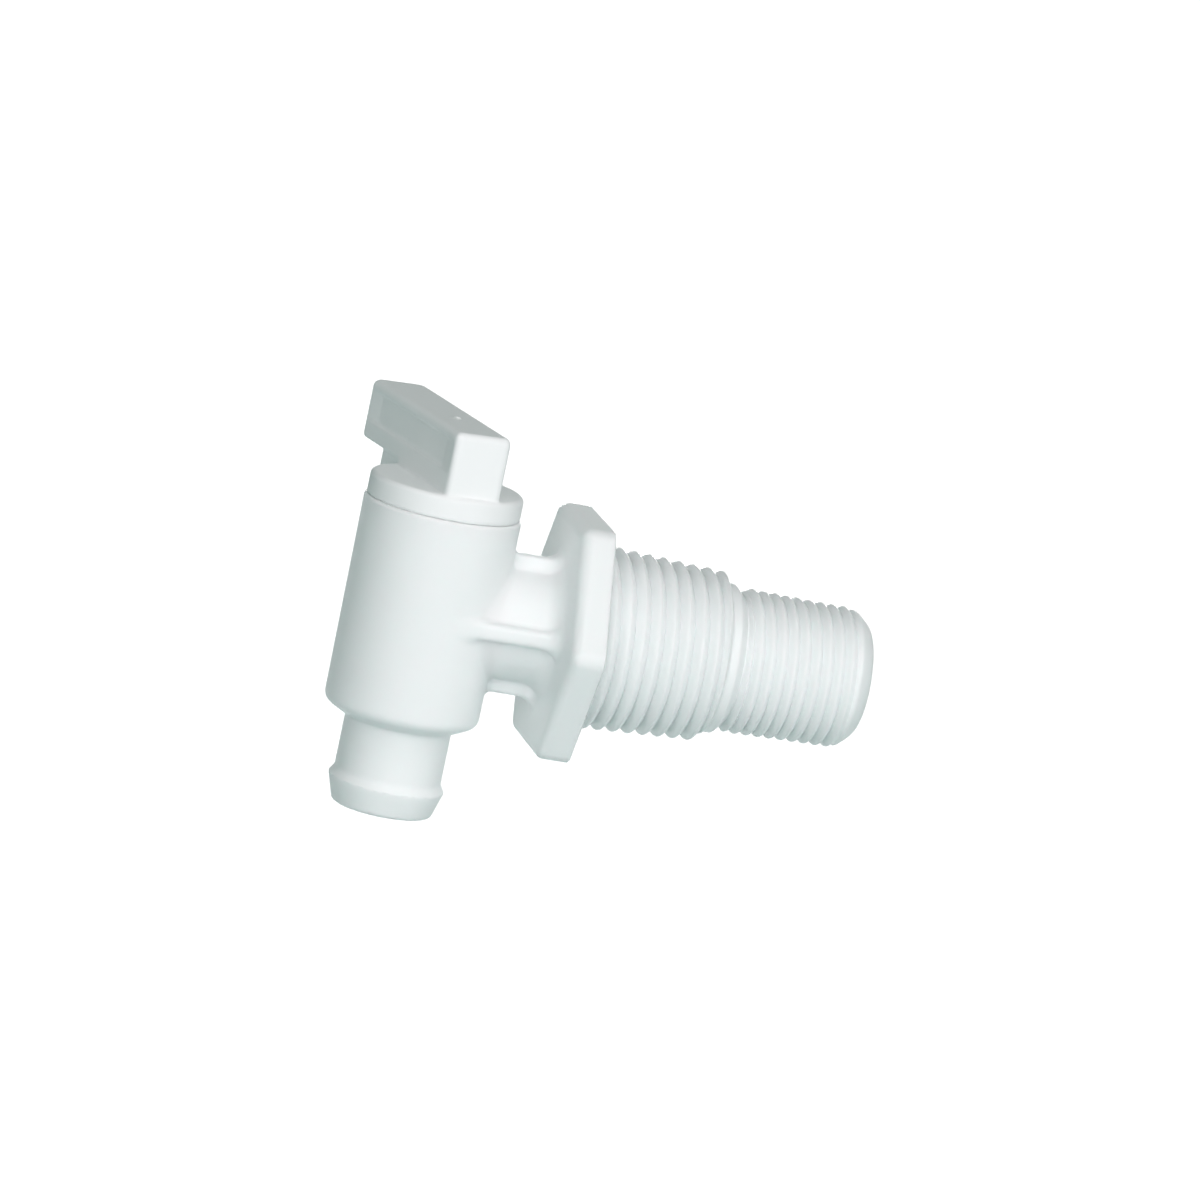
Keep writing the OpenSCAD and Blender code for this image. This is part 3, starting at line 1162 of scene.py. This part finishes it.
@dataclass
class PlugLever:
    """The turning moulding: plug, cap and lever."""

    axis: PlugAxis = field(default_factory=PlugAxis)
    cap_r: float = 9.1
    cap_height: float = 2.75
    cap_round: float = 0.6
    cap_joint: float = 0.03
    cap_edge: float = 0.15
    cap_edge_rise: float = 0.2
    port_r: float = 3.6
    snap_reach: float = 0.3
    snap_foot_z: float = -10.7
    snap_top_z: float = -9.9
    ring_z: float = 7.4
    ring_groove: float = 1.8
    ring_floor_r: float = 5.57
    lever_angle: float = 101.0
    out: float = 20.9
    back: float = 8.4
    wide: float = 6.95
    tall: float = 7.5
    lift: float = 0.5
    sink: float = 0.6
    nose: float = 1.6
    corner: float = 1.0
    edge: float = 0.8
    low_edge: float = 0.35
    fillet: float = 0.3
    panel_depth: float = 0.4
    panel_fade: float = 3.0
    panel_top_rim: float = 1.2
    panel_foot_rim: float = 2.7
    panel_end_rim: float = 1.1
    panel_corner: float = 0.5
    web_reach: float = 5.7
    web_wide: float = 5.6
    web_root: float = 1.2
    web_step: float = 0.6
    web_lap: float = 0.8
    web_foot: float = 0.3
    web_drop: float = 0.8
    web_round: float = 0.5
    key_r: float = 8.1
    key_drop: float = 1.6
    key_half: float = 9.0
    key_lap: float = 0.5
    gate_r: float = 0.4
    gate_height: float = 0.22
    gate_along: float = 1.2
    gate_fillet: float = 0.2
    edge_round: float = 0.15
    spare: float = 0.5
    side_share: float = 0.6
    crease: float = 40.0
    step: float = 0.25

    @property
    def cap_top_z(self) -> float:
        """Height of the cap's top."""
        return self.axis.cap_foot_z + self.cap_height

    @property
    def under_z(self) -> float:
        """Height of the lever's underside, beyond the cap."""
        return self.cap_top_z + self.lift

    @property
    def top_z(self) -> float:
        """Height of the lever's top."""
        return self.cap_top_z + self.tall

    def plug_outline(self) -> Outline:
        """Gives the turned outline of the plug and cap.

        Returns:
            The outline, as radius and height.
        """
        r = self.axis.plug_r
        half = self.ring_groove / 2
        snap = r + self.snap_reach
        foot = self.axis.rim_z + self.cap_joint
        return (
            [(INNER, self.axis.foot_z), (r - self.snap_reach, self.axis.foot_z), (r, self.snap_foot_z)]
            + [(snap, (self.snap_foot_z + self.snap_top_z) / 2)]
            + [(snap, self.snap_top_z), (r, self.snap_top_z)]
            + [(r, -self.ring_z - half), (self.ring_floor_r, -self.ring_z - half)]
            + [(self.ring_floor_r, half - self.ring_z), (r, half - self.ring_z)]
            + [(r, self.ring_z - half), (self.ring_floor_r, self.ring_z - half)]
            + [(self.ring_floor_r, self.ring_z + half), (r, self.ring_z + half)]
            + [(r, foot), (self.cap_r - self.cap_edge, foot), (self.cap_r, foot + self.cap_edge_rise)]
            + arc(self.cap_r - self.cap_round, self.cap_top_z - self.cap_round, self.cap_round, 0, 90)
            + [(INNER, self.cap_top_z)]
        )

    def lever(self, along: Array, across: Array, z: Array) -> Array:
        """Measures the distance to the lever, with its sunk panels and the web below it.

        Args:
            along: Distance from the plug's axis towards the lever's long end.
            across: Distance to the side of the lever's middle.
            z: Height.

        Returns:
            Signed distances, negative inside.
        """
        small, big, half = self.corner, self.nose, self.wide / 2
        corners = (small, big, big, small)
        box = rounded_box_outline((-self.back, -half), (self.out, half), corners)
        plan = outline_distance(along, across, box)
        edge = np.interp(z, (self.under_z, self.top_z), (self.low_edge, self.edge))
        bar = rounded_overlap(outline_distance(along, z, self.side_outline()), plan, edge)
        ends = np.minimum(along + self.back, self.out - along) - self.panel_end_rim
        depth = self.panel_depth * np.clip(ends / self.panel_fade, 0, 1)
        panel = outline_distance(along, z, self.panel_outline())
        panel = rounded_overlap(panel, half - depth - np.abs(across), self.fillet)
        return filleted(carved(bar, panel, self.fillet), self.web(along, across, z), self.fillet)

    def side_outline(self) -> Outline:
        """Gives the lever's outline from its side: a foot in the cap and the bar that stands off it.

        Returns:
            The outline, as distance along the lever and height.
        """
        big, small = self.nose, self.corner
        foot_end = self.cap_r - 2 * self.cap_round
        foot_z = self.cap_top_z - self.sink
        return (
            [(-self.back, foot_z), (foot_end, foot_z), (foot_end, self.under_z)]
            + arc(self.out - big, self.under_z + big, big, 270, 360)
            + arc(self.out - small, self.top_z - small, small, 0, 90)
            + arc(small - self.back, self.top_z - small, small, 90, 180)
        )

    def panel_outline(self) -> Outline:
        """Gives the outline of the sunk panel.

        Returns:
            The outline, as distance along the lever and height.
        """
        low = (self.panel_end_rim - self.back, self.cap_top_z + self.panel_foot_rim)
        high = (self.out - self.panel_end_rim, self.top_z - self.panel_top_rim)
        return rounded_box_outline(low, high, (self.panel_corner,) * 4)

    def web(self, along: Array, across: Array, z: Array) -> Array:
        """Measures the distance to the web between the cap and the underside of the lever.

        Args:
            along: Distance from the plug's axis towards the lever's long end.
            across: Distance to the side of the lever's middle.
            z: Height.

        Returns:
            Signed distances, negative inside.
        """
        start, end = self.cap_r - self.web_root, self.cap_r + self.web_reach
        top = self.under_z + self.web_lap
        foot = self.axis.cap_foot_z + self.web_foot
        end_z = self.cap_top_z - self.web_drop * self.cap_height
        outline = [(start, foot), (self.cap_r + self.web_step, foot), (end, end_z)]
        outline += [(end, top), (start, top)]
        sides = np.abs(across) - self.web_wide / 2
        return rounded_overlap(outline_distance(along, z, outline), sides, self.web_round)

    def key(self, u: Array, v: Array, z: Array, along: Array, across: Array) -> Array:
        """Measures the distance to the stop key under the cap.

        Args:
            u: Coordinate from the plug's axis along the inlet.
            v: Coordinate from it to the side.
            z: Height.
            along: Distance from the plug's axis towards the lever's long end.
            across: Distance to the side of the lever's middle.

        Returns:
            Signed distances, negative inside.
        """
        reach = np.hypot(u, v)
        past = (np.abs(np.arctan2(across, along)) - math.radians(self.key_half)) * reach
        ring = np.maximum(reach - self.key_r, self.axis.plug_r - self.key_lap - reach)
        level = np.maximum(self.axis.rim_z - self.key_drop - z, z - self.axis.cap_foot_z - self.key_lap)
        return np.maximum(np.maximum(ring, past), level)

    def passage(self, u: Array, v: Array, z: Array, along: Array, across: Array) -> Array:
        """Measures the distance to the way for the water, from the side port down to the open foot.

        Args:
            u: Coordinate from the plug's axis along the inlet.
            v: Coordinate from it to the side.
            z: Height.
            along: Distance from the plug's axis towards the lever's long end.
            across: Distance to the side of the lever's middle.

        Returns:
            Signed distances, negative inside.
        """
        down = rod(u, v, z, self.port_r, -FAR, self.port_r)
        port = rod(across, z, -along, self.port_r, 0, FAR)
        return np.minimum(down, port)

    def field(self, points: Array) -> Array:
        """Measures the distance to the whole moulding.

        Args:
            points: The points.

        Returns:
            Signed distances, negative inside.
        """
        u, v, z = points[:, 0] - self.axis.x, points[:, 1], points[:, 2]
        turn = math.radians(self.lever_angle)
        along = u * math.cos(turn) + v * math.sin(turn)
        across = v * math.cos(turn) - u * math.sin(turn)
        plug = outline_distance(np.hypot(u, v), z, self.plug_outline())
        plug = np.minimum(plug, self.key(u, v, z, along, across))
        whole = filleted(plug, self.lever(along, across, z), self.fillet)
        reach = np.hypot(along - self.gate_along, across)
        level = np.abs(z - self.top_z) - self.gate_height
        gate = rounded_overlap(reach - self.gate_r, level, self.edge_round)
        whole = filleted(whole, gate, self.gate_fillet)
        return carved(whole, self.passage(u, v, z, along, across), self.edge_round)

    def build(self) -> Piece:
        """Makes the moulding, dresses it and puts it in the place of its construction node.

        Returns:
            The finished piece.
        """
        reach = self.out + self.spare
        low = (self.axis.x - reach * self.side_share, -self.cap_r - self.spare, self.axis.foot_z)
        high = (self.axis.x + self.cap_r + self.spare, reach, self.top_z + self.gate_height)
        mesh = Moulding(self.field, low, high, self.step).mesh("plug_and_lever")
        facing_out(mesh)
        smooth_shaded(mesh, self.crease)
        piece = linked_object("plug_and_lever", mesh)
        dressed(piece, LEVER_PLASTIC)
        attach(piece, Body.TURNING.value)
        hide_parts("plug_lever")
        return piece


# The seals


@dataclass
class RingSeals:
    """The two ring seals on the plug, made by one Geometry Nodes tree."""

    axis: PlugAxis = field(default_factory=PlugAxis)
    thick: float = 1.4
    floor_r: float = 5.57
    ring_z: float = 7.4
    flash: float = 0.02
    sides: int = 96
    section_sides: int = 20
    crease: float = 60.0

    def tree(self) -> bpy.types.NodeTree:
        """Builds the tree: a round section swept round a circle, with a fine moulding flash.

        Returns:
            The tree, with a named input for each size.
        """
        numbers = ("Ring Radius", "Section Radius", "Flash")
        inputs = {"Int": ("Sides", "Section Sides"), "Float": numbers, "Vector": ("Centre",)}
        tree = geometry_tree("ring_seal", inputs)
        write = NodeWriter(tree)
        entry = write.add("NodeGroupInput").outputs
        circle = write.add("GeometryNodeCurvePrimitiveCircle")
        write.feed(circle.inputs["Resolution"], entry["Sides"])
        write.feed(circle.inputs["Radius"], entry["Ring Radius"])
        section = write.add("GeometryNodeCurvePrimitiveCircle")
        write.feed(section.inputs["Resolution"], entry["Section Sides"])
        write.feed(section.inputs["Radius"], write.math("SUBTRACT", entry["Section Radius"], entry["Flash"]))
        sweep = write.add("GeometryNodeCurveToMesh")
        write.feed(sweep.inputs["Curve"], circle.outputs[0])
        write.feed(sweep.inputs["Profile Curve"], section.outputs[0])
        place = write.add("ShaderNodeSeparateXYZ")
        write.feed(place.inputs[0], write.add("GeometryNodeInputPosition").outputs[0])
        near = write.math("LESS_THAN", write.math("ABSOLUTE", place.outputs[2]), entry["Flash"])
        flat = write.add("ShaderNodeCombineXYZ")
        write.feed(flat.inputs[0], place.outputs[0])
        write.feed(flat.inputs[1], place.outputs[1])
        reach = write.add("ShaderNodeVectorMath", operation="LENGTH")
        write.feed(reach.inputs[0], flat.outputs[0])
        beyond = write.math("SIGN", write.math("SUBTRACT", reach.outputs["Value"], entry["Ring Radius"]))
        push = write.math("MULTIPLY", write.math("MULTIPLY", near, beyond), entry["Flash"])
        away = write.add("ShaderNodeVectorMath", operation="NORMALIZE")
        write.feed(away.inputs[0], flat.outputs[0])
        shove = write.add("ShaderNodeVectorMath", operation="SCALE")
        write.feed(shove.inputs[0], away.outputs[0])
        write.feed(shove.inputs["Scale"], push)
        ridge = write.add("GeometryNodeSetPosition")
        write.feed(ridge.inputs["Geometry"], sweep.outputs[0])
        write.feed(ridge.inputs["Offset"], shove.outputs[0])
        seat = write.add("GeometryNodeTransform")
        write.feed(seat.inputs["Geometry"], ridge.outputs[0])
        write.feed(seat.inputs["Translation"], entry["Centre"])
        write.end(seat.outputs[0], entry["Material"])
        return tree

    def build(self) -> list[Piece]:
        """Makes both rings and puts them in the place of their construction nodes.

        Returns:
            The finished rings.
        """
        tree = self.tree()
        rings = []
        for node, z in (("upper_ring", self.ring_z), ("lower_ring", -self.ring_z)):
            values: Values = {
                "Sides": self.sides,
                "Section Sides": self.section_sides,
                "Ring Radius": (self.floor_r + self.thick / 2) * MM,
                "Section Radius": self.thick / 2 * MM,
                "Flash": self.flash * MM,
                "Centre": (self.axis.x * MM, 0.0, z * MM),
                "Material": RING_RUBBER.material(),
            }
            ring = tree_object(node + "_seal", tree, values)
            facing_out(ring.data)
            smooth_shaded(ring.data, self.crease)
            dressed(ring, RING_RUBBER)
            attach(ring, Body.TURNING.value)
            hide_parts(node)
            rings.append(ring)
        return rings


@dataclass
class SeatSeal:
    """The seat seal, whose construction node has the right shape and only needs its rubber."""

    node: str = "seat_seal"

    def build(self, nodes: dict[str, Piece]) -> Piece:
        """Dresses the construction node.

        Args:
            nodes: The frame's nodes by name.

        Returns:
            The node's object.
        """
        piece = nodes[self.node]
        return dressed(piece, SEAT_RUBBER)


# The studio


@dataclass(frozen=True)
class Lamp:
    """One soft rectangular lamp, aimed at the valve."""

    name: str
    place: Triple
    width: float
    height: float
    power: float

    def build(self, aim: Vector, colour: Triple) -> None:
        """Puts the lamp in the scene.

        Args:
            aim: The point that it faces, in metres.
            colour: The colour of its light.
        """
        data = bpy.data.lights.new(self.name, "AREA")
        data.shape = "RECTANGLE"
        data.size = self.width
        data.size_y = self.height
        data.energy = self.power
        data.color = colour
        lamp = bpy.data.objects.new(self.name, data)
        bpy.context.scene.collection.objects.link(lamp)
        spot = Vector(self.place)
        lamp.location = spot
        lamp.rotation_euler = (aim - spot).to_track_quat("-Z", "Y").to_euler()


@dataclass(frozen=True)
class Camera:
    """A camera that stands as the photograph's did, with the valve's top leaning to the right."""

    azimuth: float = 13.49
    elevation: float = 10.37
    roll: float = 11.94
    distance: float = 1.0563
    pixels_per_mm: float = 8.556
    frame_pixels: float = 1200.0
    sensor_mm: float = 36.0
    clip_end: float = 10.0
    anchor_pixel: tuple[float, float] = (422.07, 608.08)
    anchor: Triple = (-0.0192, 0.0, 0.0)

    def build(self) -> None:
        """Makes the camera and gives it to the scene."""
        a, e, r = (math.radians(v) for v in (self.azimuth, self.elevation, self.roll))
        towards = Vector((-math.sin(a) * math.cos(e), -math.cos(a) * math.cos(e), math.sin(e)))
        level = Vector((math.cos(a), -math.sin(a), 0))
        upright = towards.cross(level)
        right = level * math.cos(r) + upright * math.sin(r)
        up = upright * math.cos(r) - level * math.sin(r)
        middle = self.frame_pixels / 2
        scale = MM / self.pixels_per_mm
        offset_right = (self.anchor_pixel[0] - middle) * scale
        offset_up = -(self.anchor_pixel[1] - middle) * scale
        place = Vector(self.anchor) + towards * self.distance - right * offset_right - up * offset_up
        data = bpy.data.cameras.new("camera")
        data.sensor_width = self.sensor_mm
        data.lens = self.pixels_per_mm * self.distance / MM / self.frame_pixels * self.sensor_mm
        data.clip_end = self.clip_end
        camera = bpy.data.objects.new("camera", data)
        bpy.context.scene.collection.objects.link(camera)
        turn = Matrix((right, up, towards)).transposed()
        camera.matrix_world = Matrix.Translation(place) @ turn.to_4x4()
        bpy.context.scene.camera = camera


@dataclass(frozen=True)
class Studio:
    """A plain white room with soft lamps in front, on each side, above and low down behind."""

    floor_z: float = -0.07
    floor_size: float = 4.0
    floor_colour: Triple = (0.72, 0.85, 0.84)
    shade_colour: Triple = (0.2, 1.0, 0.8)
    shade_strength: float = 0.08
    glow_colour: Triple = (1.0, 0.94, 0.95)
    glow_strength: float = 0.97
    lamp_colour: Triple = (1.0, 0.925, 0.945)
    aim: Triple = (0.0, 0.0, 0.0)
    lamps: tuple[Lamp, ...] = (
        Lamp("key_lamp", (-0.24, -1.128, 0.331), 1.2, 0.6, 7.2),
        Lamp("right_lamp", (0.723, -0.925, 0.249), 0.7, 0.5, 2.3),
        Lamp("top_lamp", (0.067, -0.768, 0.919), 0.8, 0.8, 5.0),
        Lamp("strip_lamp", (-0.787, -0.906, 0.1), 0.05, 0.9, 1.0),
        Lamp("back_lamp", (0.274, 1.147, -0.02), 0.4, 0.08, 6.0),
    )

    def camera_share(self, write: NodeWriter) -> Socket:
        """Gives 1 for rays that should meet plain white: from the camera, a gloss or a clear piece.

        Args:
            write: The writer of the tree.

        Returns:
            The share, 0 or 1.
        """
        path = write.add("ShaderNodeLightPath").outputs
        seen = write.math("MAXIMUM", path["Is Camera Ray"], path["Is Glossy Ray"])
        return write.math("MAXIMUM", seen, path["Is Transmission Ray"])

    def world(self) -> None:
        """Makes the world: white to the eye, and a cool soft shade on the object."""
        world = bpy.data.worlds.new("room")
        write = emptied(world)
        seen = write.add("ShaderNodeBackground")
        seen.inputs["Color"].default_value = (1, 1, 1, 1)
        shade = write.add("ShaderNodeBackground")
        shade.inputs["Color"].default_value = (*self.shade_colour, 1)
        shade.inputs["Strength"].default_value = self.shade_strength
        mix = write.add("ShaderNodeMixShader")
        write.feed(mix.inputs[0], self.camera_share(write))
        write.feed(mix.inputs[1], shade.outputs[0])
        write.feed(mix.inputs[2], seen.outputs[0])
        write.feed(write.add("ShaderNodeOutputWorld").inputs["Surface"], mix.outputs[0])
        bpy.context.scene.world = world

    def floor(self) -> None:
        """Makes the floor, which stays pale and keeps a soft shadow."""
        half = self.floor_size / 2
        corners = [(-half, -half), (half, -half), (half, half), (-half, half)]
        mesh = bpy.data.meshes.new("floor")
        mesh.from_pydata([(x, y, self.floor_z) for x, y in corners], [], [(0, 1, 2, 3)])
        floor = linked_object("floor", mesh)
        material = bpy.data.materials.new("floor_white")
        write = emptied(material)
        matt = write.add("ShaderNodeBsdfDiffuse")
        matt.inputs["Color"].default_value = (*self.floor_colour, 1)
        glow = write.add("ShaderNodeEmission")
        glow.inputs["Color"].default_value = (*self.glow_colour, 1)
        strength = write.math("MULTIPLY", self.camera_share(write), self.glow_strength)
        write.feed(glow.inputs["Strength"], strength)
        both = write.add("ShaderNodeAddShader")
        write.feed(both.inputs[0], matt.outputs[0])
        write.feed(both.inputs[1], glow.outputs[0])
        write.feed(write.add("ShaderNodeOutputMaterial").inputs["Surface"], both.outputs[0])
        mesh.materials.append(material)

    def build(self) -> None:
        """Makes the room, the floor and the lamps."""
        self.world()
        self.floor()
        for lamp in self.lamps:
            lamp.build(Vector(self.aim), self.lamp_colour)
        bpy.context.scene.view_settings.view_transform = "Standard"


def main() -> None:
    """Loads the frame and builds the valve, the room and the camera."""
    logging.basicConfig(level=logging.INFO, format="%(name)s: %(message)s")
    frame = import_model()
    pieces = [ValveBody().build(), PlugLever().build()]
    pieces += RingSeals().build()
    pieces.append(SeatSeal().build(frame["nodes"]))
    for piece in pieces:
        LOG.info("%s: %d faces", piece.name, len(piece.data.polygons))
    Studio().build()
    Camera().build()


if __name__ == "__main__":
    main()
